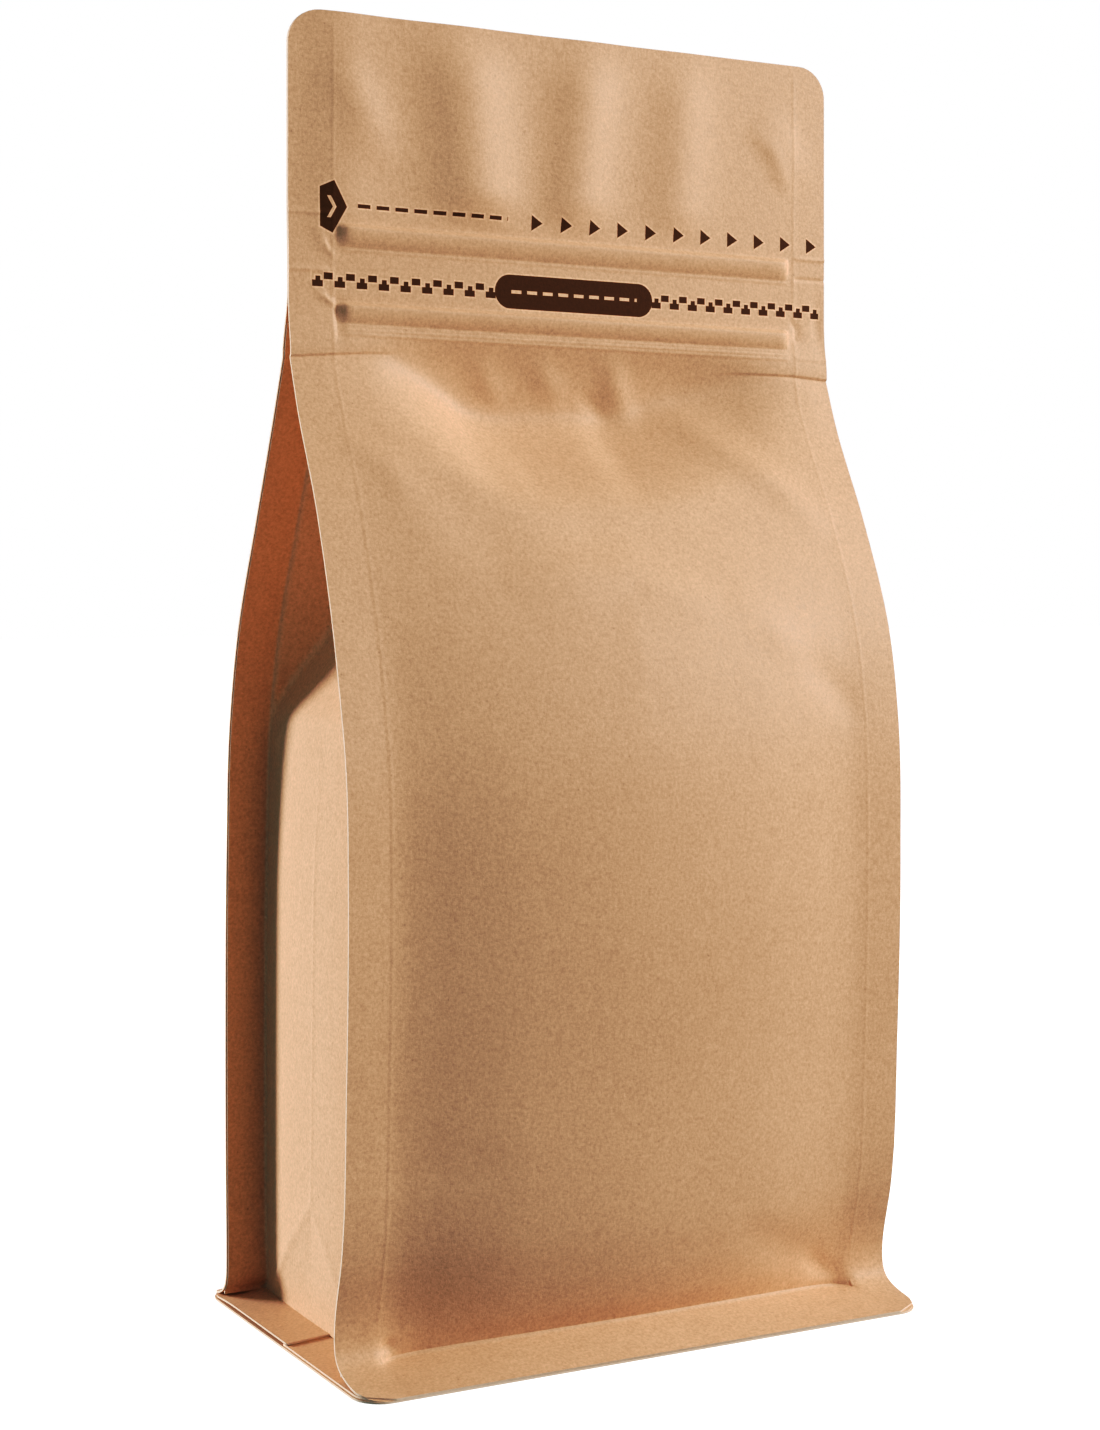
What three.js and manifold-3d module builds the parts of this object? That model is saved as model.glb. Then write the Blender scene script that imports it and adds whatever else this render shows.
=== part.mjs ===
// A kraft flat-bottom pouch, filled and shut, standing on its base. It is one welded piece.
// Millimetres, +Z up. The front faces -Y, and the origin is the middle of the base on the ground.
import * as THREE from "three";
import { mergeVertices } from "three/addons/utils/BufferGeometryUtils.js";
import Module from "manifold-3d";

// Overall size
const HEIGHT = 281;
const HEAD_WIDTH = 135;
const FOOT_WIDTH = 134.4;
const FOOT_DEPTH = 87.6;

// Head: the flat part above the body, where front, back and folded sides lie together
const HEAD_BOTTOM = 208;
const HEAD_FRONT = 4.8;
const HEAD_THICK = 2.4;
const HEAD_EDGE_THICK = 1.2;
const HEAD_CORNER = 7.8;

// Towards the body the layers of the head spread apart, each way by this much
const NECK_SPREAD = 1.2;
const NECK_TOP = 222;

// The zip inside pushes two level ridges out of the front of the head
const ZIP_RIDGES = [
  { low: 214, high: 220 },
  { low: 231.2, high: 236.3 },
];
const ZIP_PROUD = 1.2;
const ZIP_STEPS = 6;

// Body: the four upright corner seals are thin fins of welded sheet
const FIN_WIDTH = 9.3;
const SHEET = 0.8;
const PANEL_BULGE = 7.5;
const PANEL_BULGE_POWER = 2.4;
const BULGE_FADE_START = 100;

// How far the corner seals stand before and behind the middle plane, by height
const SEAL_STATIONS = [
  { z: 0, front: 28.4, back: 32.6 },
  { z: 10, front: 28.2, back: 32.4 },
  { z: 26, front: 31.6, back: 32.7 },
  { z: 60, front: 33.9, back: 32.9 },
  { z: 100, front: 35, back: 32.1 },
  { z: 130, front: 34.1, back: 29.9 },
  { z: 150, front: 30.6, back: 24.9 },
  { z: 175, front: 20.6, back: 13.6 },
  { z: 195, front: 10.7, back: 4.4 },
  { z: HEAD_BOTTOM, front: HEAD_FRONT + NECK_SPREAD, back: HEAD_THICK + NECK_SPREAD - HEAD_FRONT },
];

// Sides: level with the seals low down, folded in between front and back higher up
const SIDE_BULGE = 2.5;
const SIDE_BULGE_RISE = 30;
const SIDE_HALF_SHEET = 33.2;
const FOLD_START = 118;
const FOLD_FULL = 178;

// Foot: the lip that the seals round the base leave, flared to the ground
const LIP_THICK = 0.8;
const LIP_FLARE_HEIGHT = 2.2;
const LIP_CORNER = 7;
const SHELF_TOP = 2.3;

// Fineness of the facets
const FRONT_COLUMNS = 16;
const SIDE_COLUMNS = 10;
const CORNER_STEPS = 5;
const BODY_LEVEL_HEIGHT = 9;

const KRAFT = { color: 0xc69c72, roughness: 0.82, metalness: 0 };

const { smoothstep, lerp } = THREE.MathUtils;

// A smooth curve through the seal stations (cubic, with the slopes of the neighbours)
function sealWithoutLip(z, face) {
  const last = SEAL_STATIONS.length - 2;
  const above = SEAL_STATIONS.findIndex((station) => station.z > z);
  const i = above < 0 ? last : Math.max(above - 1, 0);
  const [a, b] = [SEAL_STATIONS[i], SEAL_STATIONS[i + 1]];
  const before = SEAL_STATIONS[Math.max(i - 1, 0)];
  const after = SEAL_STATIONS[Math.min(i + 2, last + 1)];
  const span = b.z - a.z;
  const slopeA = (b[face] - before[face]) / (b.z - before.z);
  const slopeB = (after[face] - a[face]) / (after.z - a.z);
  const t = (z - a.z) / span;
  const rise = t * t * (3 - 2 * t);
  const bendA = t * (1 - t) * (1 - t) * span * slopeA;
  const bendB = t * t * (t - 1) * span * slopeB;
  return lerp(a[face], b[face], rise) + bendA + bendB;
}

// How far the lip still flares at a height: 1 at the ground, 0 on the body
const flareAt = (z) => Math.exp(-z / LIP_FLARE_HEIGHT);

// Distance from the middle plane to a corner seal, on the front or the back
function sealDepth(z, face) {
  const lipReach = FOOT_DEPTH / 2 - sealWithoutLip(0, face);
  return sealWithoutLip(z, face) + lipReach * flareAt(z);
}

// A fin keeps its thickness where it flares, so its level width grows there
function finLevelThickness(z, face) {
  const step = 0.2;
  const slope = (sealDepth(z + step, face) - sealDepth(z, face)) / step;
  return SHEET * Math.hypot(1, slope);
}

const halfWidth = (z) => lerp(FOOT_WIDTH, HEAD_WIDTH, Math.min(z / HEAD_BOTTOM, 1)) / 2;

// The outer edge of the fins, cut by the round corners of the lip
function finEdge(z, depth) {
  const past = depth - (FOOT_DEPTH / 2 - LIP_CORNER);
  const cut = past > 0 ? LIP_CORNER - Math.sqrt(Math.max(LIP_CORNER ** 2 - past ** 2, 0)) : 0;
  return halfWidth(z) - cut;
}

// The filled panels stand out from their seals, most in the middle
function panelBulge(z, across) {
  const filled = 1 - smoothstep(z, BULGE_FADE_START, HEAD_BOTTOM);
  const crown = 1 - Math.abs(across) ** PANEL_BULGE_POWER;
  return PANEL_BULGE * (1 - flareAt(z)) * filled * crown;
}

// The side panel: a shelf at the ground, a soft bulge above it, and a fold to the inside on top.
// along runs from -1 at the front seal to 1 at the back seal.
function sidePosition(z, along, seam, edge) {
  if (z <= SHELF_TOP) {
    return lerp(edge, seam, Math.max(z - LIP_THICK, 0) / (SHELF_TOP - LIP_THICK));
  }
  const halfGap = (sealDepth(z, "front") + sealDepth(z, "back")) / 2 - SHEET;
  const folded = smoothstep(z, FOLD_START, FOLD_FULL);
  const foldDepth = Math.sqrt(Math.max(SIDE_HALF_SHEET ** 2 - halfGap ** 2, 0)) * folded;
  const bulge = SIDE_BULGE * smoothstep(z, SHELF_TOP, SIDE_BULGE_RISE) * (1 - folded);
  return seam + bulge * (1 - along ** 2) - foldDepth * (1 - Math.abs(along));
}

// One level outline of the body, counter-clockwise from the front left fin
function bodyOutline(z) {
  const outline = [];
  const put = (x, y) => outline.push(new THREE.Vector3(x, y, z));
  const seam = halfWidth(z) - FIN_WIDTH;
  const face = (name) => {
    const depth = sealDepth(z, name);
    return { depth, edge: finEdge(z, depth), inner: depth - finLevelThickness(z, name) };
  };
  const front = face("front");
  const back = face("back");
  const panel = ({ depth, edge }, side) => {
    put(side * edge, side * depth);
    for (let i = 0; i <= FRONT_COLUMNS; i += 1) {
      const across = 1 - (2 * i) / FRONT_COLUMNS;
      put(side * across * seam, side * (depth + panelBulge(z, across)));
    }
    put(-side * edge, side * depth);
  };
  const gusset = (side) => {
    const [from, to] = side > 0 ? [front, back] : [back, front];
    const fromY = -side * from.inner;
    const toY = side * to.inner;
    put(side * from.edge, fromY);
    for (let i = 0; i <= SIDE_COLUMNS; i += 1) {
      const along = (2 * i) / SIDE_COLUMNS - 1;
      const y = lerp(fromY, toY, i / SIDE_COLUMNS);
      put(side * sidePosition(z, along, seam, from.edge), y);
    }
    put(side * to.edge, toY);
  };
  panel(front, -1);
  gusset(1);
  panel(back, 1);
  gusset(-1);
  return outline;
}

// One level outline of the head; the zip ridges lie between the seals
function headOutline(z) {
  const past = Math.max(z - (HEIGHT - HEAD_CORNER), 0);
  const half = HEAD_WIDTH / 2 - HEAD_CORNER + Math.sqrt(Math.max(HEAD_CORNER ** 2 - past ** 2, 0));
  const seam = HEAD_WIDTH / 2 - FIN_WIDTH;
  const inside = seam - HEAD_THICK;
  const ridge = ZIP_RIDGES.find(({ low, high }) => z > low && z < high);
  const proud = ridge ? ZIP_PROUD * Math.sin((Math.PI * (z - ridge.low)) / (ridge.high - ridge.low)) : 0;
  const spread = NECK_SPREAD * (1 - smoothstep(z, HEAD_BOTTOM, NECK_TOP));
  const front = -HEAD_FRONT - spread;
  const backEdge = HEAD_EDGE_THICK + spread - HEAD_FRONT;
  const back = HEAD_THICK + spread - HEAD_FRONT;
  const points = [
    [-half, front],
    [-seam, front],
    [-inside, front - proud],
    [inside, front - proud],
    [seam, front],
    [half, front],
    [half, backEdge],
    [seam, backEdge],
    [inside, back],
    [-inside, back],
    [-seam, backEdge],
    [-half, backEdge],
  ];
  return points.map(([x, y]) => new THREE.Vector3(x, y, z));
}

// A closed solid through level outlines that all have the same number of points
function loft(outlines) {
  const count = outlines[0].length;
  const positions = outlines.flat().flatMap((point) => point.toArray());
  const faces = [];
  const flat = (outline) => outline.map(({ x, y }) => new THREE.Vector2(x, y));
  for (const [a, b, c] of THREE.ShapeUtils.triangulateShape(flat(outlines[0]), [])) {
    faces.push(a, c, b);
  }
  for (let level = 0; level < outlines.length - 1; level += 1) {
    for (let i = 0; i < count; i += 1) {
      const [low, lowNext] = [level * count + i, level * count + ((i + 1) % count)];
      const [high, highNext] = [low + count, lowNext + count];
      faces.push(low, lowNext, highNext, low, highNext, high);
    }
  }
  const top = (outlines.length - 1) * count;
  for (const [a, b, c] of THREE.ShapeUtils.triangulateShape(flat(outlines.at(-1)), [])) {
    faces.push(top + a, top + b, top + c);
  }
  const geometry = new THREE.BufferGeometry();
  geometry.setAttribute("position", new THREE.Float32BufferAttribute(positions, 3));
  geometry.setIndex(faces);
  return geometry;
}

// Heights at which the body is cut into levels: close together on the lip, even above it
function bodyHeights() {
  const lip = [LIP_THICK / 2, LIP_THICK, 1.3, 1.8, SHELF_TOP, 3.2, 4.6, 6.6, 9.5, 14];
  const heights = [...lip];
  const levels = Math.round((HEAD_BOTTOM - lip.at(-1)) / BODY_LEVEL_HEIGHT);
  for (let i = 1; i <= levels; i += 1) {
    heights.push(lerp(lip.at(-1), HEAD_BOTTOM, i / levels));
  }
  return heights;
}

// Heights of the head's levels: its edges, the steps of each ridge and of the round corners
function headHeights() {
  const heights = [HEAD_BOTTOM - 2];
  for (const { low, high } of ZIP_RIDGES) {
    for (let i = 0; i <= ZIP_STEPS; i += 1) {
      heights.push(lerp(low, high, i / ZIP_STEPS));
    }
  }
  for (let i = 0; i <= CORNER_STEPS; i += 1) {
    heights.push(HEIGHT - HEAD_CORNER + HEAD_CORNER * Math.sin((i / CORNER_STEPS) * (Math.PI / 2)));
  }
  return heights;
}

// The lip on the ground: a thin plate with round corners
function lipPlate() {
  const [x, y, r] = [FOOT_WIDTH / 2, FOOT_DEPTH / 2, LIP_CORNER];
  const shape = new THREE.Shape();
  shape.moveTo(-x + r, -y);
  shape.absarc(x - r, -y + r, r, -Math.PI / 2, 0);
  shape.absarc(x - r, y - r, r, 0, Math.PI / 2);
  shape.absarc(-x + r, y - r, r, Math.PI / 2, Math.PI);
  shape.absarc(-x + r, -y + r, r, Math.PI, 1.5 * Math.PI);
  return new THREE.ExtrudeGeometry(shape, {
    depth: LIP_THICK,
    bevelEnabled: false,
    curveSegments: CORNER_STEPS,
  });
}

const wasm = await Module();
wasm.setup();

function solid(geometry) {
  const bare = new THREE.BufferGeometry();
  bare.setAttribute("position", geometry.getAttribute("position"));
  bare.setIndex(geometry.index);
  const merged = mergeVertices(bare, 1e-4);
  return new wasm.Manifold(new wasm.Mesh({
    numProp: 3,
    vertProperties: new Float32Array(merged.getAttribute("position").array),
    triVerts: new Uint32Array(merged.index.array),
  }));
}

function toGeometry(manifold) {
  const mesh = manifold.getMesh();
  const geometry = new THREE.BufferGeometry();
  geometry.setAttribute("position", new THREE.Float32BufferAttribute(mesh.vertProperties, 3));
  geometry.setIndex(new THREE.Uint32BufferAttribute(mesh.triVerts, 1));
  geometry.computeVertexNormals();
  return geometry;
}

const body = solid(loft(bodyHeights().map(bodyOutline)));
const head = solid(loft(headHeights().map(headOutline)));
const lip = solid(lipPlate());

const pouch = new THREE.Mesh(
  toGeometry(body.add(head).add(lip)),
  new THREE.MeshStandardMaterial(KRAFT),
);
pouch.name = "pouch";

const model = new THREE.Group();
model.add(pouch);
export default model;
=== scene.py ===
# A filled and shut flat-bottom pouch of kraft paper laminate, standing on its base.
# Metres, +Z up. The printed front faces -Y, and the origin is the middle of the base on the ground.
import math

import bpy
import numpy as np
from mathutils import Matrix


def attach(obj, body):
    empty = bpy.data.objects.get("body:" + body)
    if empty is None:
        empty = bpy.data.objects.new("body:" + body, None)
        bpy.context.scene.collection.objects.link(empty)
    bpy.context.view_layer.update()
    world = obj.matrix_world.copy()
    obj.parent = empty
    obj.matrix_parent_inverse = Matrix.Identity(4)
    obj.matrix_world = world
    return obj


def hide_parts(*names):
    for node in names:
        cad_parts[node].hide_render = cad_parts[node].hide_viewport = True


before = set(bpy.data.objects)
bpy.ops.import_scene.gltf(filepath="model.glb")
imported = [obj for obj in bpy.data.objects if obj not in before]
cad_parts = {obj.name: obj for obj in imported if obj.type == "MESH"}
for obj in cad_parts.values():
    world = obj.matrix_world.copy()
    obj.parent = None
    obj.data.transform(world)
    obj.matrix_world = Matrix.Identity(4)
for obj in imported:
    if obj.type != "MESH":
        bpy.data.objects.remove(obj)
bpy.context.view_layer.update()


# ---- Base sheet ----
# The real piece is a flat rectangle of the same kraft laminate, die-cut with round corners.
# It lies on the ground, and its rim is heat-sealed to the lips of the front, back and side sheets.

MM = 0.001
SHEET_THICK = 0.42
LIP_CORNER = 6.4
BASE_HALF_WIDTH = 67.6
BASE_HALF_DEPTH = 43.7
KRAFT_TONE = (0.640, 0.376, 0.238)
CUT_EDGE_TONE = (0.800, 0.600, 0.450)


def corner_cut(past, radius):
    """How far a round corner has come in, at this distance past its start."""
    past = np.clip(past, 0, radius)
    return radius - np.sqrt(radius**2 - past**2)


def thick_sheet(name, outside, face_material, cut_material):
    """Paper of its real thickness, as one closed mesh; outside is its outer face, as points in mm."""
    along = np.gradient(outside, axis=1)
    up = np.gradient(outside, axis=0)
    normal = np.cross(along, up)
    normal /= np.linalg.norm(normal, axis=2, keepdims=True)
    inside = outside - normal * SHEET_THICK
    count = outside[..., 0].size
    index = np.arange(count).reshape(outside.shape[:2])
    quads = np.stack([index[:-1, :-1], index[:-1, 1:], index[1:, 1:], index[1:, :-1]], axis=-1)
    quads = quads.reshape(-1, 4)
    rim = np.concatenate([index[0, :-1], index[:-1, -1], index[-1, :0:-1], index[:0:-1, 0]])
    beyond = np.roll(rim, -1)
    cut_faces = np.stack([rim, rim + count, beyond + count, beyond], axis=-1)
    faces = np.concatenate([quads, quads[:, ::-1] + count, cut_faces])
    points = np.concatenate([outside.reshape(-1, 3), inside.reshape(-1, 3)]) * MM
    mesh = bpy.data.meshes.new(name)
    mesh.from_pydata(points.tolist(), [], faces.tolist())
    mesh.materials.append(face_material)
    mesh.materials.append(cut_material)
    is_cut = np.arange(len(faces)) >= 2 * len(quads)
    mesh.polygons.foreach_set("material_index", is_cut.astype(np.int32))
    mesh.polygons.foreach_set("use_smooth", np.ones(len(faces), dtype=bool))
    ends = np.empty(2 * len(mesh.edges), dtype=np.int32)
    mesh.edges.foreach_get("vertices", ends)
    ends = ends.reshape(-1, 2)
    on_rim = np.zeros(2 * count, dtype=bool)
    on_rim[rim] = True
    on_rim[rim + count] = True
    one_face = (ends[:, 0] < count) == (ends[:, 1] < count)
    mesh.edges.foreach_set("use_edge_sharp", on_rim[ends].all(axis=1) & one_face)
    piece = bpy.data.objects.new(name, mesh)
    bpy.context.scene.collection.objects.link(piece)
    return piece


class Socket:
    """A value, vector or colour in a shader, so that shader maths reads as Python."""

    def __init__(self, tree, out=None):
        self.tree = tree
        self.out = out

    def node(self, kind, settings=None, inputs=None, output=0):
        """A new node: its settings first, then the values or links of its sockets."""
        made = self.tree.nodes.new(kind)
        for name, value in (settings or {}).items():
            setattr(made, name, value)
        for name, value in (inputs or {}).items():
            if isinstance(value, Socket):
                self.tree.links.new(value.out, made.inputs[name])
            else:
                made.inputs[name].default_value = value
        return Socket(self.tree, made.outputs[output] if made.outputs else None)

    def maths(self, operation, first, second=None):
        """A Vector Math node where a vector or colour takes part, and a Math node elsewhere."""
        terms = [term for term in (first, second) if term is not None]
        wide = any(isinstance(term, tuple) for term in terms)
        wide = wide or any(isinstance(term, Socket) and term.out.type != "VALUE" for term in terms)
        if wide:
            terms = [(term,) * 3 if isinstance(term, (int, float)) else term for term in terms]
        kind = "ShaderNodeVectorMath" if wide else "ShaderNodeMath"
        return self.node(kind, {"operation": operation}, dict(enumerate(terms)))

    def __add__(self, other):
        return self.maths("ADD", self, other)

    def __radd__(self, other):
        return self.maths("ADD", other, self)

    def __sub__(self, other):
        return self.maths("SUBTRACT", self, other)

    def __rsub__(self, other):
        return self.maths("SUBTRACT", other, self)

    def __mul__(self, other):
        return self.maths("MULTIPLY", self, other)

    def __rmul__(self, other):
        return self.maths("MULTIPLY", other, self)

    def __truediv__(self, other):
        return self.maths("DIVIDE", self, other)

    def __pow__(self, other):
        return self.maths("POWER", self, other)

    def __mod__(self, other):
        return self.maths("FLOORED_MODULO", self, other)

    def __lt__(self, other):
        return self.maths("LESS_THAN", self, other)

    def __gt__(self, other):
        return self.maths("GREATER_THAN", self, other)

    def __abs__(self):
        return self.maths("ABSOLUTE", self)

    def least(self, other):
        """The smaller of the two."""
        return self.maths("MINIMUM", self, other)

    def most(self, other):
        """The larger of the two."""
        return self.maths("MAXIMUM", self, other)

    def clamp(self):
        """Held between 0 and 1."""
        return self.node("ShaderNodeClamp", {}, {"Value": self})

    def axes(self):
        """The three numbers of a vector."""
        parts = self.node("ShaderNodeSeparateXYZ", {}, {"Vector": self}).out.node
        return [Socket(self.tree, parts.outputs[i]) for i in range(3)]


def kraft(name, ink=None):
    """Kraft paper under a thin matt film: fine fibres, soft mottling, dark specks, and flat ink if any."""
    material = bpy.data.materials.new(name)
    material.use_nodes = True
    material.node_tree.nodes.clear()
    start = Socket(material.node_tree)
    place = start.node("ShaderNodeTexCoord", output="Object") * 1000
    noise = "ShaderNodeTexNoise"
    cloud = start.node(noise, {}, {"Vector": place, "Scale": 0.045, "Detail": 4.0, "Roughness": 0.62})
    mottle = start.node(noise, {}, {"Vector": place, "Scale": 0.4, "Detail": 3.0, "Roughness": 0.6})
    grain = start.node(noise, {}, {"Vector": place, "Scale": 1.5, "Detail": 2.0, "Roughness": 0.65})
    fibres = 0
    for turn, stretch in (((0.3, 0.5, 0.2), (0.35, 2.2, 2.6)), ((0.9, -0.4, 0.7), (2.4, 2.2, 0.4))):
        laid = start.node(
            "ShaderNodeMapping", {}, {"Vector": place, "Rotation": turn, "Scale": stretch}
        )
        strand = start.node(noise, {}, {"Vector": laid, "Scale": 0.8, "Detail": 2.0, "Roughness": 0.55})
        fibres = fibres + (1 - abs(strand - 0.5) / 0.035).clamp()
    cells = start.node("ShaderNodeTexVoronoi", {}, {"Vector": place, "Scale": 0.42})
    chance = Socket(start.tree, cells.out.node.outputs["Color"]).axes()[0]
    specks = (1 - cells / 0.13).clamp() * (chance > 0.62)
    shade = 1 + (cloud - 0.5) * 0.12 + (mottle - 0.5) * 0.14 + (grain - 0.5) * 0.7 + fibres * 0.05
    shade = shade - specks * 0.3
    colour = shade * KRAFT_TONE
    gloss = 0.5 + (grain - 0.5) * 0.25 + (mottle - 0.5) * 0.1
    relief = grain * 0.035 + fibres * 0.006 + mottle * 0.03
    if ink:
        fill, halo, ink_tone = ink(place)
        colour = colour * (1 + halo * 0.28)
    bump = start.node("ShaderNodeBump", {}, {"Strength": 1.0, "Distance": MM, "Height": relief})
    surface = start.node(
        "ShaderNodeBsdfPrincipled",
        {},
        {"Base Color": colour, "Roughness": gloss, "Normal": bump, "Specular IOR Level": 0.12},
    )
    if ink:
        printed = start.node(
            "ShaderNodeBsdfPrincipled",
            {},
            {
                "Base Color": (0.8 + grain * 0.4) * ink_tone,
                "Roughness": 0.6 + (grain - 0.5) * 0.2,
                "Normal": bump,
                "Specular IOR Level": 0.04,
            },
        )
        surface = start.node("ShaderNodeMixShader", {}, {0: fill, 1: surface, 2: printed})
    start.node("ShaderNodeOutputMaterial", {}, {"Surface": surface})
    return material


def cut_edge(name):
    """The pale edge that the die leaves: bare paper fibres between two films."""
    material = bpy.data.materials.new(name)
    material.use_nodes = True
    material.node_tree.nodes.clear()
    start = Socket(material.node_tree)
    place = start.node("ShaderNodeTexCoord", output="Object") * 1000
    frayed = start.node("ShaderNodeTexNoise", {}, {"Vector": place, "Scale": 1.6, "Detail": 3.0})
    surface = start.node(
        "ShaderNodeBsdfPrincipled",
        {},
        {
            "Base Color": (0.86 + frayed * 0.28) * CUT_EDGE_TONE,
            "Roughness": 0.78 + (frayed - 0.5) * 0.2,
            "Normal": start.node("ShaderNodeBump", {}, {"Distance": MM, "Height": frayed * 0.05}),
        },
    )
    start.node("ShaderNodeOutputMaterial", {}, {"Surface": surface})
    return material


across = np.concatenate([
    np.linspace(-1, -0.9, 12)[:-1], np.linspace(-0.9, 0.9, 30), np.linspace(0.9, 1, 12)[1:]
])
base_y = -np.sign(across) * (1 - (1 - np.abs(across)) ** 1.6) * BASE_HALF_DEPTH
base_half = BASE_HALF_WIDTH - corner_cut(np.abs(base_y) - (BASE_HALF_DEPTH - LIP_CORNER), LIP_CORNER)
base_x = base_half[:, None] * np.linspace(-1, 1, 60)
base_grid = np.stack(
    [base_x, np.broadcast_to(base_y[:, None], base_x.shape), np.zeros(base_x.shape)], axis=-1
)
base_sheet = thick_sheet("base_sheet", base_grid, kraft("base_kraft"), cut_edge("base_cut_edge"))
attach(base_sheet, "root")
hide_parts("pouch")


# ---- Front sheet and its print ----
# The real piece is one sheet of kraft laminate: lip, filled panel, two thin corner seals and flat head.
# It is printed before it is cut, then heat-sealed along its edges. The zip inside and the filling
# push its folds and ridges out from behind.

SEAM = 58.0
FOOT_HALF = 67.2
HEAD_HALF = 67.5
HEIGHT = 281.0
NECK = 208.0
NECK_TOP = 222.0
HEAD_FRONT = 4.8
HEAD_CORNER = 7.1
LIP_REACH = 43.8
LIP_EDGE = 0.85
CREASE_END = 3.3
CREASE_RISE = 2
FIN_START = 59.5
SEAL_HEIGHTS = (0, 10, 26, 60, 100, 130, 150, 175, 195, NECK)
FRONT_SEAL = (28.4, 28.2, 31.6, 33.9, 35.0, 34.1, 30.6, 20.6, 10.7, 6.0)
# the line where the flat band above bends into the panel below, from left to right
BAND_LINE = (
    (-67, 208), (-56.5, 208.9), (-47.9, 209.5), (-28, 209.1), (-12, 209.6),
    (11, 209.3), (42, 208.8), (57.5, 208.7), (67, 208),
)
# the lower end of the hollow that the zip leaves below the band, from left to right
HOLLOW_LINE = (
    (-67, 208.6), (-44, 208.2), (-36, 204.6), (-31, 201.6), (-26, 198.8), (-18, 197.4), (-8, 197.6),
    (2, 198.2), (9, 197.8), (15, 199), (22, 200.8), (30, 203), (40, 205), (50, 207.4), (67, 208.6),
)
HOLLOW_TOP = 213.0
HOLLOW_LEAN = 0.45
HOLLOW_REJOIN = 22
# how the filled panel swells from the seams to its middle: distance from the seam and share
CROWN = ((0, 0), (3, 0.01), (8, 0.12), (16, 0.37), (26, 0.65), (38, 0.86), (50, 0.975), (58, 1), (66, 1))
SWELL_HEIGHTS = (0, 5, 10, 15, 20, 27, 40, 60, 90, 115, 132, 146, 156, 166, 180, 195, 210)
PANEL_SWELL = (4.6, 5.0, 6.2, 6.6, 6.3, 5.7, 5.1, 4.8, 5.1, 4.9, 4.0, 2.8, 1.8, 0.9, 0.2, 0, 0)
FOOT_TUCK = 1.2
# soft folds and dents: the path in x and z, how wide to each side, and how far out
PANEL_FOLDS = (
    (((-23, 211), (-20, 205), (-15, 198)), 2.6, 0.35),
    (((-9, 211), (-5, 205), (0, 199)), 3.0, 0.45),
    (((9, 212), (12.5, 204.5), (17.5, 195)), 3.2, 0.7),
    (((3, 204), (7.5, 200), (11.5, 195)), 1.8, -0.3),
    (((-44, 203), (-34, 190), (-24, 177), (-14, 165), (-4, 154)), 11.0, 0.8),
    (((-36, 201), (-29, 195), (-23, 188), (-16, 179)), 3.8, 0.45),
    (((-60, 192), (-53, 187.5), (-44, 179)), 3.2, 0.4),
    (((-52, 188), (-46, 178), (-40, 169), (-34, 160)), 6.5, 0.5),
    (((20, 200), (28, 196), (36, 190.5), (46, 183), (57, 171)), 4.2, 0.9),
    (((-46, 162), (-24, 161.5), (2, 163.5), (17, 156), (32, 151)), 5.0, 0.6),
    (((24, 158), (34, 152), (43, 144)), 4.6, 0.4),
    (((42, 145), (50, 138), (57, 129)), 4.0, -0.4),
    (((-60, 43), (-44, 42), (-28, 40)), 6.0, -0.3),
    (((22, 23), (34, 16.5), (45, 12.5), (56, 10)), 4.2, -0.5),
    (((44, 12), (49, 9), (55, 4.6)), 2.4, -0.6),
    (((-57, 7), (-54.5, 4)), 1.3, -0.8),
)
# the soft upright waves of the head: x at the top, x at the zip, how wide, and how far out
HEAD_WAVES = (
    (-27, -24, 9.5, 2.1),
    (4, 0.5, 7.6, 1.55),
    (29, 27, 7.0, 0.9),
)
# ridges that the two halves of the zip push out: lowest line, highest line and how far
ZIP_RIDGES = ((231.0, 236.4, 1.2), (215.0, 219.8, 1.2))
ZIP_LEAN = -0.0062


def smoothstep(value, start, end):
    """0 below start, 1 above end, and an even S between."""
    share = np.clip((value - start) / (end - start), 0, 1)
    return share * share * (3 - 2 * share)


def smooth_curve(at, places, values):
    """A smooth curve through values at places."""
    places = np.array(places, dtype=float)
    values = np.array(values, dtype=float)
    slopes = np.gradient(values, places)
    i = np.clip(np.searchsorted(places, at) - 1, 0, len(places) - 2)
    span = places[i + 1] - places[i]
    share = np.clip((at - places[i]) / span, 0, 1)
    rise = share * share * (3 - 2 * share)
    bends = share * (1 - share) ** 2 * slopes[i] - share * share * (1 - share) * slopes[i + 1]
    return values[i] + (values[i + 1] - values[i]) * rise + span * bends


def fold(x, z, path, reach, out):
    """How far one fold stands out: most along its path, and nothing at both ends."""
    path = np.array(path, dtype=float)
    steps = np.hypot(*np.diff(path, axis=0).T)
    done = np.concatenate([[0], np.cumsum(steps)])
    nearest = np.full(np.shape(x), 1e9)
    share = np.zeros(np.shape(x))
    for i, step in enumerate(steps):
        (x0, z0), (x1, z1) = path[i], path[i + 1]
        t = np.clip(((x - x0) * (x1 - x0) + (z - z0) * (z1 - z0)) / step**2, 0, 1)
        apart = (x - x0 - t * (x1 - x0)) ** 2 + (z - z0 - t * (z1 - z0)) ** 2
        share = np.where(apart < nearest, (done[i] + t * step) / done[-1], share)
        nearest = np.minimum(apart, nearest)
    return out * np.exp(-nearest / reach**2) * np.sin(math.pi * share)


def lip_crease(x):
    """Height of the fold between the lip and the panel."""
    return CREASE_END + CREASE_RISE * (1 - np.clip(np.abs(x) / SEAM, 0, 1) ** 2.4)


def thin_line(distance, width):
    """A pressed line's profile: 1 on the line and nothing beyond its width."""
    return np.exp(-((distance / width) ** 2))


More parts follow.
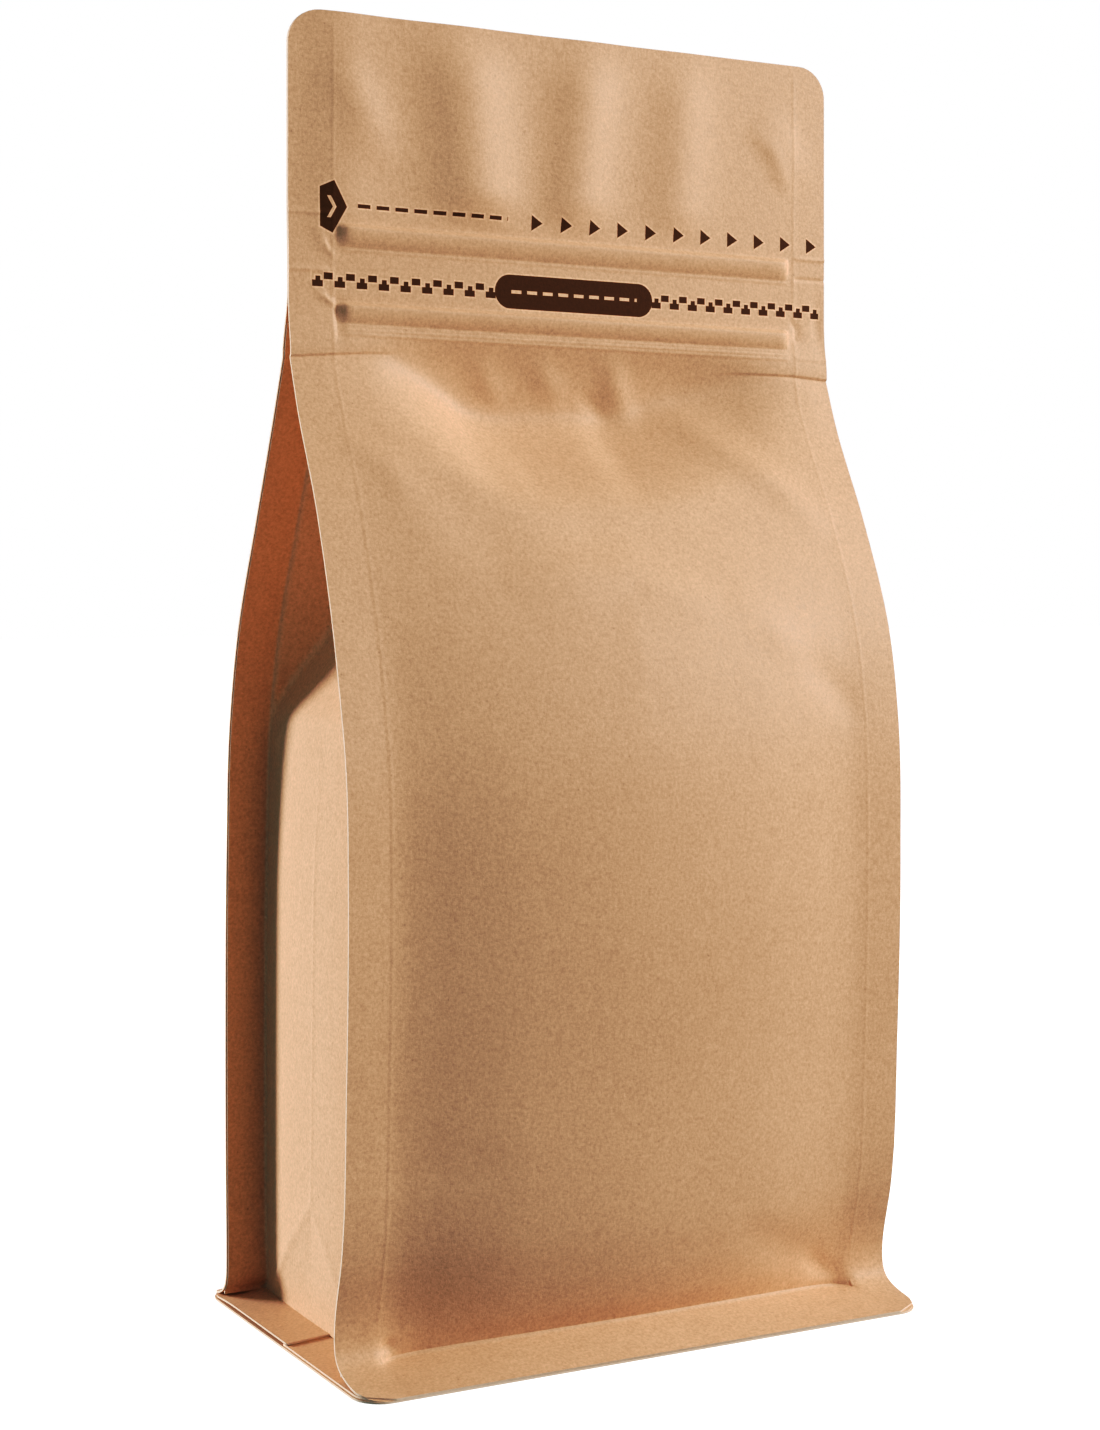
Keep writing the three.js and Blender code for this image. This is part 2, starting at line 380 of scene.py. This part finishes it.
def front_waves(x, z):
    """The soft upright waves of the head above the zip."""
    down = (276 - z) / 33
    swell = smoothstep(z, 236, 246) * (1 - smoothstep(z, 268, 281) * 0.75)
    waves = 0
    for top, low, reach, out in HEAD_WAVES:
        waves = waves + out * thin_line(x - (top + (low - top) * down), reach)
    return waves * swell


def head_turn(x, z):
    """The left end of the head bends back a little beyond a soft ridge."""
    turn = 0.6 * thin_line(x + 56, 8) - 0.5 * smoothstep(-x, 52, 68)
    return turn * smoothstep(z, 226, 242)


def crown(x):
    """Share of the swell: 0 at the seams and 1 in the middle."""
    return smooth_curve(np.maximum(SEAM - np.abs(x), 0), *zip(*CROWN))


def flared(seal, x, z, panel):
    """The corner seals curve out softly to the lip, where the panel between them has a sharp crease."""
    spread = np.exp((LIP_EDGE - np.maximum(z, LIP_EDGE)) / 1.5)
    on_seal = smoothstep(np.abs(x), 54, 59.5) * (1 - smoothstep(z, 14, 24))
    return panel + (seal + (LIP_REACH - seal) * spread - panel) * on_seal


def shoulder(level, line):
    """Depth of the front's corner seals below the flat band."""
    return smooth_curve(np.minimum(level * NECK / line, NECK), SEAL_HEIGHTS, FRONT_SEAL)


def zip_floor(x, z, line):
    """Depth of the flat head, and of the hollow below the zip, where the sheet falls back."""
    fall = np.logaddexp(0, (HOLLOW_TOP - z) / 0.5) - np.logaddexp(0, (208 - z) / 2) * 2
    middle = HEAD_FRONT - HOLLOW_LEAN * 0.5 * fall
    ends = HEAD_FRONT + 0.7 * (1 - smoothstep(z, line, NECK_TOP)) - 0.1 * np.maximum(line - z, 0)
    return middle + (ends - middle) * smoothstep(np.abs(x), 26, 62)


def front_depth(x, z):
    """How far the front sheet's outside stands before the middle plane, in mm."""
    line = np.interp(x, *zip(*BAND_LINE))
    crease = lip_crease(x)
    level = np.maximum(z, crease)
    seal = shoulder(level, line)
    hollow_end = smooth_curve(x, *zip(*HOLLOW_LINE))
    held = hollow_end + 1.3 * np.logaddexp(0, (level - hollow_end) / 1.3)
    pull = shoulder(held, line) - zip_floor(x, held, line)
    body = seal - pull * (1 - smoothstep(hollow_end - level, 0, HOLLOW_REJOIN))
    body = body + smooth_curve(level, SWELL_HEIGHTS, PANEL_SWELL) * crown(x)
    body = body + 2.6 * thin_line(level - 150, 24) * np.minimum(x, 0) / 62
    outward = np.clip((-x - SEAM) / 9.2, 0, 1)
    body = body + 0.6 * outward * smoothstep(level, 8, 40) * (1 - smoothstep(level, 150, 200))
    tuck = FOOT_TUCK * np.exp((crease - level) / 5) * smoothstep(SEAM - np.abs(x), -3, 9)
    body = body - tuck
    depth = np.where(z < line, body, zip_floor(x, z, line) + head_turn(x, z))
    lip = np.maximum(crease - z, 0) / (crease - LIP_EDGE)
    depth = flared(seal, x, z, depth + (LIP_REACH - depth) * lip)
    between = smoothstep(SEAM - np.abs(x), 0.5, 2.5)
    on_panel = smoothstep(z, crease + 0.5, crease + 3)
    for path, reach, out in PANEL_FOLDS:
        depth = depth + fold(x, z, path, reach, out) * on_panel
    depth = depth + front_waves(x, z) * (0.25 + 0.75 * between)
    return depth + front_press(x, z, line)


def front_press(x, z, line):
    """What the sealing bars and the zip press into the head: ridges, steps and fine lines."""
    level = z - ZIP_LEAN * x
    ends = smoothstep(x, -57.0, -54.6) * smoothstep(-x, -57.6, -56.0)
    relief = 0
    for low, high, out in ZIP_RIDGES:
        share = np.clip((level - low) / (high - low), 0, 1)
        face = 1 - (1 - np.minimum(share / 0.78, 1)) ** 2
        relief = relief + out * face * (1 - smoothstep(share, 0.76, 1))
        relief = relief + 0.12 * thin_line(level - low + 0.4, 0.3)
    for height, out in ((213.75, 0.16), (212.85, 0.16)):
        relief = relief + out * thin_line(level - height, 0.3)
    relief = relief * ends
    grip = smoothstep(np.abs(x), 36, 52)
    step = smoothstep(z, line - 0.35, line + 0.15) * (1 - smoothstep(z, line + 1, line + 9))
    relief = relief + 0.5 * grip * step
    seam_at = np.where(x < 0, 57.6, 58.4 + 0.5 * smoothstep(z, 200, 212))
    seam = thin_line(np.abs(x) - seam_at, 0.35) * smoothstep(z, 6, 14) * (1 - smoothstep(z, 277, 280))
    relief = relief + 0.055 * seam
    on_left = smoothstep(-x, 57.5, 59)
    on_right = smoothstep(x, 58.7, 59.8)
    for height, out in ((238.4, 0.18), (226.4, 0.18)):
        relief = relief + out * thin_line(z - height, 0.45) * on_left
    for height, out in ((236.1, 0.2), (231.3, -0.22), (212.6, 0.1)):
        relief = relief + out * thin_line(z - height, 0.4) * on_right
    relief = relief + fold(x, z, ((-62, 237), (-61, 234.6), (-59, 231), (-57, 229)), 0.6, 0.28)
    relief = relief + fold(x, z, ((-62, 224), (-60.9, 222.4), (-58.8, 220.2), (-56, 218.6)), 0.6, 0.28)
    relief = relief + fold(x, z, ((-56.6, 222), (-56.4, 218), (-56.2, 211)), 0.9, -0.4)
    relief = relief + fold(x, z, ((64.3, 233), (65, 222), (66.4, 211)), 0.5, -0.3)
    relief = relief + fold(x, z, ((58, 222), (59.5, 219.5), (59, 216)), 0.8, -0.3)
    relief = relief + fold(x, z, ((46, 266), (52.6, 261), (57.6, 251)), 2.0, 0.35)
    relief = relief + fold(x, z, ((48, 269), (55.5, 263), (60.5, 252)), 4.6, 0.45)
    relief = relief + fold(x, z, ((-58, 272), (-51, 262), (-45, 248)), 5.0, 0.7)
    level_line = thin_line(z - np.where(x < 0, 37.2, 34.4), 0.4)
    relief = relief + 0.1 * level_line * (smoothstep(-x, 28, 40) + smoothstep(x, 40, 46))
    return relief


def half_width(z):
    """Half the width of the pouch at a height, without its round corners."""
    return FOOT_HALF + (HEAD_HALF - FOOT_HALF) * np.minimum(z / NECK, 1)


def spread_columns(columns, half):
    """The columns beyond the seams draw in with the outline."""
    fin = np.maximum(np.abs(columns) - FIN_START, 0) / (FOOT_HALF - FIN_START)
    inner = np.minimum(np.abs(columns), FIN_START)
    return np.sign(columns) * (inner + fin * (half - FIN_START))


def panel_grid(depth, heights_above_crease, columns, lip_rows):
    """Points of a front or back sheet, from the lip's edge up to the top."""
    columns = np.broadcast_to(columns, (lip_rows + len(heights_above_crease), len(columns)))
    crease = lip_crease(columns)
    share = np.linspace(0, 1, lip_rows, endpoint=False)[:, None]
    lip_z = LIP_EDGE + (crease[:lip_rows] - LIP_EDGE) * share
    body_z = crease[lip_rows:] + (HEIGHT - crease[lip_rows:]) * heights_above_crease[:, None]
    z = np.concatenate([lip_z, body_z])
    y = depth(columns, z)
    foot_cut = corner_cut(y - (LIP_REACH - LIP_CORNER), LIP_CORNER) * (z < crease)
    head_cut = corner_cut(z - (HEIGHT - HEAD_CORNER), HEAD_CORNER)
    x = spread_columns(columns, half_width(z) - foot_cut - head_cut)
    return np.stack([x, -depth(x, z), z], axis=-1)


# sheet heights that need close rows: the lip's crease, the neck and the zip band
FRONT_ROWS = np.concatenate([
    [4, 4.12, 4.3, 4.6, 5, 5.6, 6.3],
    np.arange(7.1, 20, 0.95),
    np.arange(20, 180, 1.5),
    np.arange(180, 205, 0.8),
    np.arange(205, 211, 0.26),
    np.arange(211, 240, 0.3),
    np.arange(240, 273, 1.3),
    HEIGHT - HEAD_CORNER + HEAD_CORNER * np.sin(np.linspace(0.05, 1, 9) * math.pi / 2),
])
FIN_COLUMNS = np.concatenate([
    np.linspace(FOOT_HALF, FIN_START, 8)[:-1], np.arange(FIN_START, 56.6, -0.3)
])
FRONT_COLUMNS = np.concatenate([-FIN_COLUMNS, np.linspace(-56.5, 56.5, 96), FIN_COLUMNS[::-1]])

INK_TONE = (0.084, 0.037, 0.018)
TAB_CORNERS = ((-60.5, 235.6), (-57.7, 234.3), (-54.5, 239.9), (-57.4, 245.4), (-60.6, 243.9))


def polygon(x, z, corners):
    """Distance outside a many-sided shape, its corners counter-clockwise; negative inside it."""
    apart = None
    for (x0, z0), (x1, z1) in zip(corners, corners[1:] + corners[:1]):
        length = math.hypot(x1 - x0, z1 - z0)
        across_x = (z1 - z0) / length
        across_z = (x0 - x1) / length
        side = x * across_x + z * across_z - (x0 * across_x + z0 * across_z)
        apart = side if apart is None else apart.most(side)
    return apart


def bar(x, z, half_x, half_z):
    """Distance outside a bar about the origin."""
    return (abs(x) - half_x).most(abs(z) - half_z)


def chequer(x, z, first, last, pitch):
    """Two staggered rows of squares, the lower ones with a small stub on top."""
    low = (x - first) % pitch - 1.25
    high = (x - first - pitch / 2) % pitch - 1.15
    squares = bar(low, z + 0.72, 1.22, 0.68).least(bar(low - 0.1, z - 0.35, 0.55, 0.5))
    squares = squares.least(bar(high, z - 0.92, 1.02, 0.72))
    return squares.most(first - x).most(x - last)


def front_ink(place):
    """The print: tab, tear marks, arrows, pill and chequer rows, with a faint pale rim round them."""
    x, _, z = place.axes()
    level = z - x * ZIP_LEAN
    tab = polygon(x, z, TAB_CORNERS)
    chevron = abs(x + 57.3 + abs(z - 239.8) * 0.55) - 0.42
    tab = tab.most(0 - chevron.most(abs(z - 239.8) - 2.3))
    marks = bar((x + 52) % 4.45 - 1.5, level - 239.98, 1.5, 0.42).most(x + 16.2).most(-52.2 - x)
    arrow_at = (x + 10.3) % 7.27
    arrows = polygon(arrow_at, level - 239.6, ((0, -1.75), (2.75, 0), (0, 1.75)))
    arrows = arrows.most(-10.6 - x).most(x - 66)
    beyond = (abs(x - 0.7) - 16.2).most(0)
    pill = (beyond**2 + (level - 224.2) ** 2) ** 0.5 - 3.72
    beads = bar((x + 15.2) % 3.9 - 1.25, level - 224.2, 1.25, 0.36).most(x - 16.6).most(-15.4 - x)
    pill = pill.most(0 - beads)
    rows = chequer(x, level - 223.9, -62.3, -18.8, 5.1).least(chequer(x, level - 224.1, 20.4, 65.9, 4.8))
    shapes = tab.least(marks).least(arrows).least(pill).least(rows)
    fill = (0.5 - shapes / 0.12).clamp()
    halo = (0.5 - (shapes - 0.34) / 0.2).clamp() - fill
    return fill, halo, INK_TONE


front_grid = panel_grid(front_depth, (FRONT_ROWS - 4) / (HEIGHT - 4), FRONT_COLUMNS, 8)
front_sheet = thick_sheet(
    "front_sheet", front_grid, kraft("front_kraft", ink=front_ink), cut_edge("front_cut_edge")
)
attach(front_sheet, "root")
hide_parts("pouch")


# ---- Back sheet ----
# The real piece is the same sheet as the front without print. Its head is sealed to the front's head
# along the top and the sides, and below the neck the folded sides let it lean away from the front.

BACK_SEAL = (32.6, 32.4, 32.7, 32.9, 32.1, 29.9, 24.9, 13.6, 4.4, -1.2)
ZIP_GAP = 1.5
# depth of the back's outside where the head is shut: two sheets and a hair behind the front's outside
SHUT_HEAD = 2 * SHEET_THICK + 0.03 - HEAD_FRONT
# what is left at the neck of the gap between front and back, beyond the shut head
NECK_FALL = BACK_SEAL[-1] - SHUT_HEAD
BACK_FOLDS = (
    (((-40, 206), (-30, 201), (-18, 195)), 3.0, -0.9),
    (((-6, 206), (2, 200), (10, 194)), 2.4, -1.1),
    (((22, 206), (30, 200), (40, 193)), 3.2, 0.8),
    (((-54, 192), (-44, 176), (-36, 164)), 4.6, 0.8),
    (((52, 190), (42, 172), (33, 158)), 4.6, 0.8),
    (((12, 180), (2, 168), (-8, 160)), 4.2, 0.5),
    (((30, 20), (40, 12), (52, 8)), 3.6, -0.8),
    (((-54, 10), (-44, 13), (-34, 21)), 3.6, -0.7),
)
BACK_ROWS = np.concatenate([
    [4, 4.15, 4.5, 5, 5.8, 6.8],
    np.arange(8, 20, 1.2),
    np.arange(20, 184, 1.9),
    np.arange(184, 205, 1.0),
    np.arange(205, 240, 0.6),
    np.arange(240, 273, 1.6),
    HEIGHT - HEAD_CORNER + HEAD_CORNER * np.sin(np.linspace(0.05, 1, 9) * math.pi / 2),
])
BACK_COLUMNS = np.concatenate([-FIN_COLUMNS, np.linspace(-56.5, 56.5, 78), FIN_COLUMNS[::-1]])


def back_depth(x, z):
    """How far the back sheet's outside stands behind the middle plane, in mm."""
    crease = lip_crease(x)
    level = np.maximum(z, crease)
    seal = smooth_curve(np.minimum(level, NECK), SEAL_HEIGHTS, BACK_SEAL)
    body = seal + 7.0 * crown(x) * smoothstep(level, 0, 22) * (1 - smoothstep(level, 100, NECK))
    body = body + 0.5 * np.exp((crease - level) / 0.8)
    apart = np.clip((57 - np.abs(x)) / 4, 0, 1) * (1 - smoothstep(z, 238, 252)) * ZIP_GAP
    head = SHUT_HEAD + apart + (NECK_FALL * (1 - smoothstep(z, NECK, NECK_TOP)))
    waves = front_waves(x, z)
    head = head - np.where(waves < 0, waves, 0.75 * waves) - head_turn(x, z)
    depth = np.where(z < NECK, body + apart * smoothstep(z, 196, NECK), head)
    lip = np.maximum(crease - z, 0) / (crease - LIP_EDGE)
    depth = flared(seal, x, z, depth + (LIP_REACH - depth) * lip)
    on_panel = smoothstep(z, crease + 0.5, crease + 3)
    for path, reach, out in BACK_FOLDS:
        depth = depth + fold(x, z, path, reach, out) * on_panel
    for low, high, out in ZIP_RIDGES:
        share = np.clip((z - low) / (high - low), 0, 1)
        depth = depth + 0.5 * out * np.sin(math.pi * share) * smoothstep(57 - np.abs(x), 0, 2)
    seam = thin_line(np.abs(x) - 57.8, 0.35) * smoothstep(z, 6, 14) * (1 - smoothstep(z, 277, 280))
    return depth + 0.055 * seam


back_grid = panel_grid(
    lambda x, z: back_depth(-x, z), (BACK_ROWS - 4) / (HEIGHT - 4), BACK_COLUMNS, 7
)
back_grid = back_grid * np.array([-1, -1, 1])
back_sheet = thick_sheet("back_sheet", back_grid, kraft("back_kraft"), cut_edge("back_cut_edge"))
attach(back_sheet, "root")
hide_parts("pouch")


# ---- Side sheets ----
# Each real side is one sheet, folded in along its middle like a bellows. Its two outer strips are
# heat-sealed flat against the front and the back sheet, and make the four thin upright corner seals.

SIDE_HALF_SHEET = 32.6
FOLD_START = 131.5
LEAF_GROWTH = 0.6
SIDE_BULGE = 2.4
APEX = 28.5
SIDE_FOOT = 2.3
SIDE_FOOT_X = 57.4
SIDE_TOP = 216.0
CREASE_ROUND = 3.0
CORNER_ROUND = 0.6
SEAL_MIDDLE = 62.0
SEAL_GAP = 0.02
SIDE_ROWS = np.concatenate([
    [SIDE_FOOT, 2.6, 3.1],
    np.arange(3.8, 32, 1.1),
    np.arange(32, 112, 2.0),
    np.arange(112, 172, 0.9),
    np.arange(172, SIDE_TOP + 0.1, 1.3),
])
WALL_SHARES = np.concatenate([
    np.linspace(-1, -0.06, 28), [-0.03, -0.012, 0, 0.012, 0.03], np.linspace(0.06, 1, 28)
])


def seal_insides(side, z):
    """Depths of the side sheet's strips behind the front and before the back corner seal."""
    x = np.full(np.shape(z), side * SEAL_MIDDLE)
    front = front_depth(x, z) - 2 * SHEET_THICK - SEAL_GAP
    back = back_depth(x, z) - 2 * SHEET_THICK - SEAL_GAP
    return front, back


def side_wall(share, z, gap):
    """Where the side panel runs, from share -1 at the front strip to 1 at the back: how far in y from
    its middle, as a part of the half gap, and how far out in x.

    Above the fold's start two leaves turn in from the strips round a soft crease, and the panel
    between them leans in as a gable that narrows up to the middle fold.
    """
    leaf = LEAF_GROWTH * np.logaddexp(0, z - FOLD_START)
    leaf = np.minimum(leaf, SIDE_HALF_SHEET)
    leaf_level = np.clip((gap - SIDE_HALF_SHEET + leaf) / leaf, 0, 1)
    leaf_inward = np.sqrt(1 - leaf_level**2) * (1 - 0.73 * smoothstep(z, 176, 190))
    round_off = np.minimum(leaf * 0.7, CREASE_ROUND) + 0.01

    def flat_run(run):
        """How much of a run from the strip lies past the leaf, the crease between them rounded off."""
        turn = np.clip((run - leaf + round_off) / (2 * round_off), 0, 1)
        return 2 * round_off * (turn**3 - turn**4 / 2) + np.maximum(run - leaf - round_off, 0)

    run = SIDE_HALF_SHEET * (1 - np.abs(share))
    inward = leaf_inward * (run - flat_run(run))
    half = leaf_level * SIDE_HALF_SHEET + (1 - leaf_level) * flat_run(np.full_like(run, SIDE_HALF_SHEET))
    width = half - (leaf_level * run + (1 - leaf_level) * flat_run(run))
    leg = np.maximum(APEX * (1 - np.abs(share)), SIDE_FOOT + 0.5)
    shut = smoothstep(z, FOLD_START - 40, FOLD_START + 20)
    bulge = SIDE_BULGE * (1 - np.abs(share) ** 2.4) * (1 - shut)
    tucked = np.clip((z - SIDE_FOOT) / (leg - SIDE_FOOT), 0, 1)
    crease = 0.1 * thin_line(share, 0.015) * (1 - shut) * smoothstep(z, APEX - 2, APEX + 4)
    crease = crease + 0.22 * thin_line(z - leg, 1.0) * smoothstep(z, 4, 8)
    foot = SIDE_FOOT_X + (SEAM - SIDE_FOOT_X) * smoothstep(z, SIDE_FOOT, 14)
    out = foot + bulge * (0.4 + 0.6 * tucked) + crease - inward
    return np.sign(share) * width / np.maximum(half, 0.01), out


def side_grid(side):
    """Points of one side sheet; side is -1 for the left and 1 for the right."""
    z = SIDE_ROWS[:, None]
    edge = half_width(z) - 0.25
    front, back = seal_insides(side, np.maximum(z, CREASE_END))
    room = (front + back) / 2
    turn = np.clip(room * 0.6, 0.12, CORNER_ROUND)
    strip = np.linspace(1, 0, 8)
    strip_x = (SEAM + turn) + (edge - SEAM - turn) * strip
    strip_z = np.broadcast_to(np.maximum(z, CREASE_END), strip_x.shape)
    strip_front = -(front_depth(side * strip_x, strip_z) - 2 * SHEET_THICK - SEAL_GAP)
    strip_back = back_depth(side * strip_x, strip_z) - 2 * SHEET_THICK - SEAL_GAP
    angle = np.linspace(0, math.pi / 2, 6)[1:-1]
    start_y = strip_back[:, -1:] - turn
    end_y = strip_front[:, -1:] + turn
    share, level = np.broadcast_arrays(-WALL_SHARES, z)
    across, wall_x = side_wall(share, level, room)
    wall_y = (start_y + end_y) / 2 + (start_y - end_y) / 2 * across
    hub_back = wall_x[:, :1] + turn
    hub_front = wall_x[:, -1:] + turn
    x = np.concatenate(
        [
            strip_x,
            hub_back - turn * np.sin(angle),
            wall_x,
            hub_front - turn * np.cos(angle),
            strip_x[:, ::-1],
        ],
        axis=1,
    )
    y = np.concatenate(
        [
            strip_back,
            start_y + turn * np.cos(angle),
            wall_y,
            end_y - turn * np.sin(angle),
            strip_front[:, ::-1],
        ],
        axis=1,
    )
    grid = np.stack([side * x, y, np.broadcast_to(z, x.shape)], axis=-1)
    return grid if side < 0 else grid[:, ::-1]


for side, word in ((-1, "left"), (1, "right")):
    side_kraft = kraft(f"{word}_side_kraft")
    side_cut = cut_edge(f"{word}_side_cut_edge")
    side_sheet = thick_sheet(f"{word}_side_sheet", side_grid(side), side_kraft, side_cut)
    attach(side_sheet, "root")
    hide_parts("pouch")


# ---- Side shelves ----
# At the foot each real side sheet folds out level and is sealed to the base sheet as a narrow shelf.
# The middle fold splits the shelf in two halves, and the rear half lies over the front half.

SHELF_EDGE = 67.2
SHELF_END = 43.3
SHELF_LIFT = 0.5
SPLIT_Y = -3.0
SPLIT_SKEW = 2.1


def shelf_grid(side, start, end, lift, skew):
    """Points of one half of a shelf, from the side's crease out to the round-cornered edge."""
    out = np.linspace(0, 1, 12)
    along = np.linspace(0, 1, 44)[:, None]
    y = start + (end - skew * (1 - out) - start) * along
    cut = corner_cut(np.abs(y) - (LIP_REACH - LIP_CORNER), LIP_CORNER)
    x = SIDE_FOOT_X - 0.3 + (SHELF_EDGE - cut - SIDE_FOOT_X + 0.3) * out
    slope = (SIDE_FOOT - 0.86) / (SHELF_EDGE - SIDE_FOOT_X)
    level = 0.87 + (SHELF_EDGE - x) * slope
    under_lip = LIP_EDGE + (LIP_REACH - np.abs(y)) * 0.18 - 0.44
    z = np.minimum(level, under_lip) + lift * (1 - smoothstep(y, 28, 41))
    grid = np.stack([side * x, np.broadcast_to(y, x.shape), z], axis=-1)
    return grid if side < 0 else grid[:, ::-1]


for side, word in ((-1, "left"), (1, "right")):
    shelf_kraft = kraft(f"{word}_shelf_kraft")
    shelf_cut = cut_edge(f"{word}_shelf_cut_edge")
    for half, start, end, lift, skew in (
        ("rear", SHELF_END, SPLIT_Y, SHELF_LIFT, SPLIT_SKEW),
        ("front", SPLIT_Y + 2, -SHELF_END, 0.0, 0.0),
    ):
        shelf = thick_sheet(
            f"{word}_{half}_shelf", shelf_grid(side, start, end, lift, skew), shelf_kraft, shelf_cut
        )
        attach(shelf, "root")
        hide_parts("pouch")


# ---- Floor, light and camera ----
# A plain white studio floor, a soft key light near at the front right, a harder light from behind
# on the left that rakes along the side, and a weak cool one in the left recess. The camera stands
# at the left of the front. The tone curve was fitted by numbers to one photograph.

FLOOR_REACH = 6.0
LIGHT_CENTRE = (0, 0, 0.14)
CAMERA_PLACE = (-0.26213, -0.48007, 0.16118)
CAMERA_TURN = -28.36
SENSOR = 36
FRAME_ROWS = 1430
FOCAL_ROWS = 2448.4
HORIZON_ROW = 580.2


def studio_floor():
    """A wide white floor that only takes soft shadows."""
    mesh = bpy.data.meshes.new("floor")
    corners = [(-FLOOR_REACH, -FLOOR_REACH), (FLOOR_REACH, -FLOOR_REACH), (FLOOR_REACH, FLOOR_REACH)]
    corners.append((-FLOOR_REACH, FLOOR_REACH))
    mesh.from_pydata([(x, y, 0) for x, y in corners], [], [(0, 1, 2, 3)])
    material = bpy.data.materials.new("white_floor")
    material.use_nodes = True
    material.node_tree.nodes.clear()
    start = Socket(material.node_tree)
    x, y, _ = start.node("ShaderNodeTexCoord", output="Object").axes()
    far = (((x**2 + y**2) ** 0.5 - 0.25) / 0.5).clamp()
    surface = start.node(
        "ShaderNodeBsdfPrincipled",
        {},
        {
            "Base Color": (0.75, 0.75, 0.75, 1),
            "Roughness": 0.9,
            "Specular IOR Level": 0.0,
            "Emission Color": (0.78 + far * 0.3) * (1, 1, 1),
            "Emission Strength": 1.0,
        },
    )
    start.node("ShaderNodeOutputMaterial", {}, {"Surface": surface})
    mesh.materials.append(material)
    floor = bpy.data.objects.new("floor", mesh)
    bpy.context.scene.collection.objects.link(floor)
    floor.visible_diffuse = False
    floor.visible_glossy = False
    return floor


studio_floor()


def area_light(name, place, aim, size, power, colour):
    """A round soft light that the camera doesn't see."""
    light = bpy.data.lights.new(name, "AREA")
    light.shape = "DISK"
    light.size = size
    light.energy = power
    light.color = colour
    lamp = bpy.data.objects.new(name, light)
    bpy.context.scene.collection.objects.link(lamp)
    lamp.location = place
    reach = [a - b for a, b in zip(aim, place)]
    lamp.rotation_euler = (
        math.atan2(math.hypot(reach[0], reach[1]), -reach[2]),
        0,
        math.atan2(reach[1], reach[0]) - math.pi / 2,
    )
    lamp.visible_camera = False
    return lamp


def toward(azimuth, elevation, distance):
    """A place that far from the pouch; azimuth 0 is before its front and 90 on its right."""
    turn, lift = math.radians(azimuth), math.radians(elevation)
    level = distance * math.cos(lift)
    return (
        LIGHT_CENTRE[0] + level * math.sin(turn),
        LIGHT_CENTRE[1] - level * math.cos(turn),
        LIGHT_CENTRE[2] + distance * math.sin(lift),
    )


area_light("key", toward(58, 23, 1.1), LIGHT_CENTRE, 0.5, 15.8, (1, 0.965, 0.925))
area_light("left_fill", toward(-85, 5, 1.5), LIGHT_CENTRE, 0.4, 1.3, (0.05, 0.8, 1))
left_rim = area_light("left_rim", toward(-144, 4, 2.0), (0, 0, 0.12), 0.5, 70, (1, 0.97, 0.97))
left_rim.visible_glossy = False

world = bpy.data.worlds.new("studio")
bpy.context.scene.world = world
world.use_nodes = True
world.node_tree.nodes.clear()
sky = Socket(world.node_tree)
seen = sky.node("ShaderNodeLightPath", output=0)
backdrop = sky.node("ShaderNodeBackground", {}, {"Color": (1, 1, 1, 1), "Strength": 1.0})
fill = sky.node("ShaderNodeBackground", {}, {"Color": (0.88, 0.97, 1, 1), "Strength": 0.18})
mixed = sky.node("ShaderNodeMixShader", {}, {0: seen, 1: fill, 2: backdrop})
sky.node("ShaderNodeOutputWorld", {}, {"Surface": mixed})

# how bright the light is, and how bright it is shown: shade comes out deeper and warmer than light
TONE_CURVE = (
    (0.05, 0.022), (0.089, 0.055), (0.144, 0.112), (0.204, 0.196), (0.270, 0.293),
    (0.341, 0.383), (0.436, 0.495), (0.577, 0.625), (0.857, 0.868),
)
view = bpy.context.scene.view_settings
view.view_transform = "Standard"
view.use_curve_mapping = True
for bright, shown in TONE_CURVE:
    view.curve_mapping.curves[3].points.new(bright, shown)
view.curve_mapping.update()
camera = bpy.data.objects.new("camera", bpy.data.cameras.new("camera"))
bpy.context.scene.collection.objects.link(camera)
bpy.context.scene.camera = camera
camera.location = CAMERA_PLACE
camera.rotation_euler = (math.pi / 2, 0, math.radians(CAMERA_TURN))
camera.data.sensor_width = SENSOR
camera.data.lens = FOCAL_ROWS / FRAME_ROWS * SENSOR
camera.data.shift_y = (HORIZON_ROW - FRAME_ROWS / 2) / FRAME_ROWS
camera.data.clip_start = 0.01
